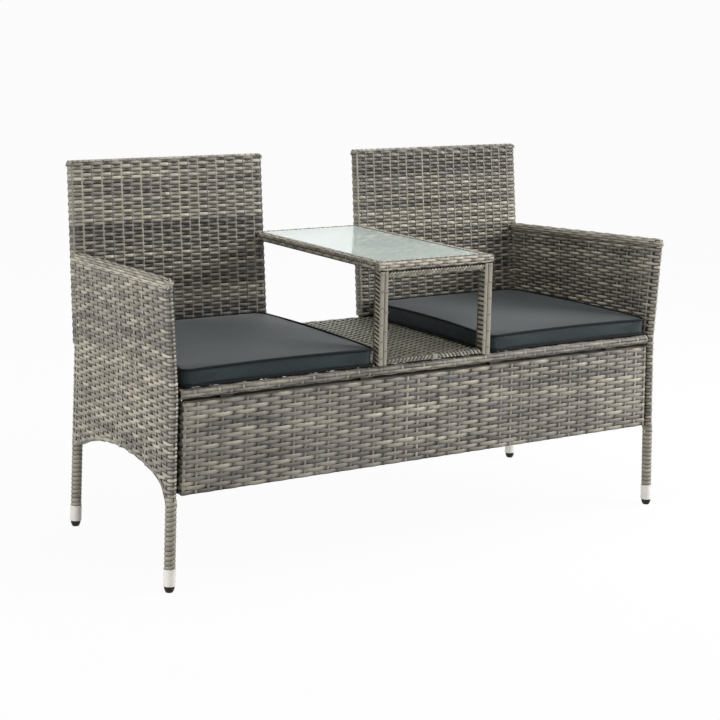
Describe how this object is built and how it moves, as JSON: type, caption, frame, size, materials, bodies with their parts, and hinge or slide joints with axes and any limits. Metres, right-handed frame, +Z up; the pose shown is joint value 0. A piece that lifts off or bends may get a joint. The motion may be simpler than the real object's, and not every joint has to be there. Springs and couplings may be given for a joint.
{
  "type": "rattan garden bench",
  "caption": "Woven rattan garden bench with backrests, arched sides, a front apron, loose seat cushions and a glass-topped coffee table built in between the seats.",
  "frame": {"origin": "on the floor under the middle of the bench's overall box", "axes": "+X along the bench, to the right as seen from the front, +Y towards the backrests, +Z up; the front faces -Y"},
  "size_m": [1.339, 0.5777, 0.8415],
  "materials": {
    "rattan": "matte",
    "frame_steel": "satin",
    "bolt_steel": "satin",
    "glide_plastic": "matte",
    "sleeve_plastic": "satin",
    "table_glass": "polished",
    "clear_pad": "matte",
    "cushion_cloth": "matte"
  },
  "bodies": {
    "bench": {"apron_bars": "frame_steel", "apron_hangers": "frame_steel", "apron_panel": "rattan", "apron_uprights": "frame_steel", "arch_rod_left": "frame_steel", "arch_rod_right": "frame_steel", "arm_rail_left": "frame_steel", "arm_rail_right": "frame_steel", "arm_wrap_left": "rattan", "arm_wrap_right": "rattan", "back_bottom_rails": "frame_steel", "back_inner_post_left": "frame_steel", "back_inner_post_right": "frame_steel", "back_panel_left": "rattan", "back_panel_right": "rattan", "back_stays": "frame_steel", "back_top_rail_left": "frame_steel", "back_top_rail_right": "frame_steel", "foot_sleeves": "sleeve_plastic", "front_leg_left": "frame_steel", "front_leg_right": "frame_steel", "front_leg_wrap_left": "rattan", "front_leg_wrap_right": "rattan", "glass_pads": "clear_pad", "glide_front_left": "glide_plastic", "glide_front_right": "glide_plastic", "glide_rear_left": "glide_plastic", "glide_rear_right": "glide_plastic", "rear_leg_wrap_left": "rattan", "rear_leg_wrap_right": "rattan", "rear_post_left": "frame_steel", "rear_post_right": "frame_steel", "seat_bolts": "bolt_steel", "seat_cross_bars": "frame_steel", "seat_deck": "rattan", "seat_end_rail_left": "frame_steel", "seat_end_rail_right": "frame_steel", "seat_front_rail": "frame_steel", "seat_front_rail_wrap": "rattan", "seat_rear_rail": "frame_steel", "seat_rear_rail_wrap": "rattan", "side_panel_left": "rattan", "side_panel_right": "rattan", "side_stretcher_left": "frame_steel", "side_stretcher_right": "frame_steel", "table_bolts": "bolt_steel", "table_frame": "frame_steel", "table_leg_foot_bar": "rattan", "table_leg_frame": "frame_steel", "table_leg_left": "rattan", "table_leg_right": "rattan", "table_leg_top_bar": "rattan", "table_rim_front": "rattan", "table_rim_left": "rattan", "table_rim_rear": "rattan", "table_rim_right": "rattan"},
    "left_cushion": {"seat_cushion_left": "cushion_cloth"},
    "right_cushion": {"seat_cushion_right": "cushion_cloth"},
    "glass": {"glass_top": "table_glass"}
  },
  "joints": [
    {"name": "left_cushion_lift", "type": "slide", "parent": "bench", "child": "left_cushion", "axis": [0, 0, 1], "range_m": [0, 0.45]},
    {"name": "right_cushion_lift", "type": "slide", "parent": "bench", "child": "right_cushion", "axis": [0, 0, 1], "range_m": [0, 0.45]},
    {"name": "glass_lift", "type": "slide", "parent": "bench", "child": "glass", "axis": [0, 0, 1], "range_m": [0, 0.24]}
  ]
}
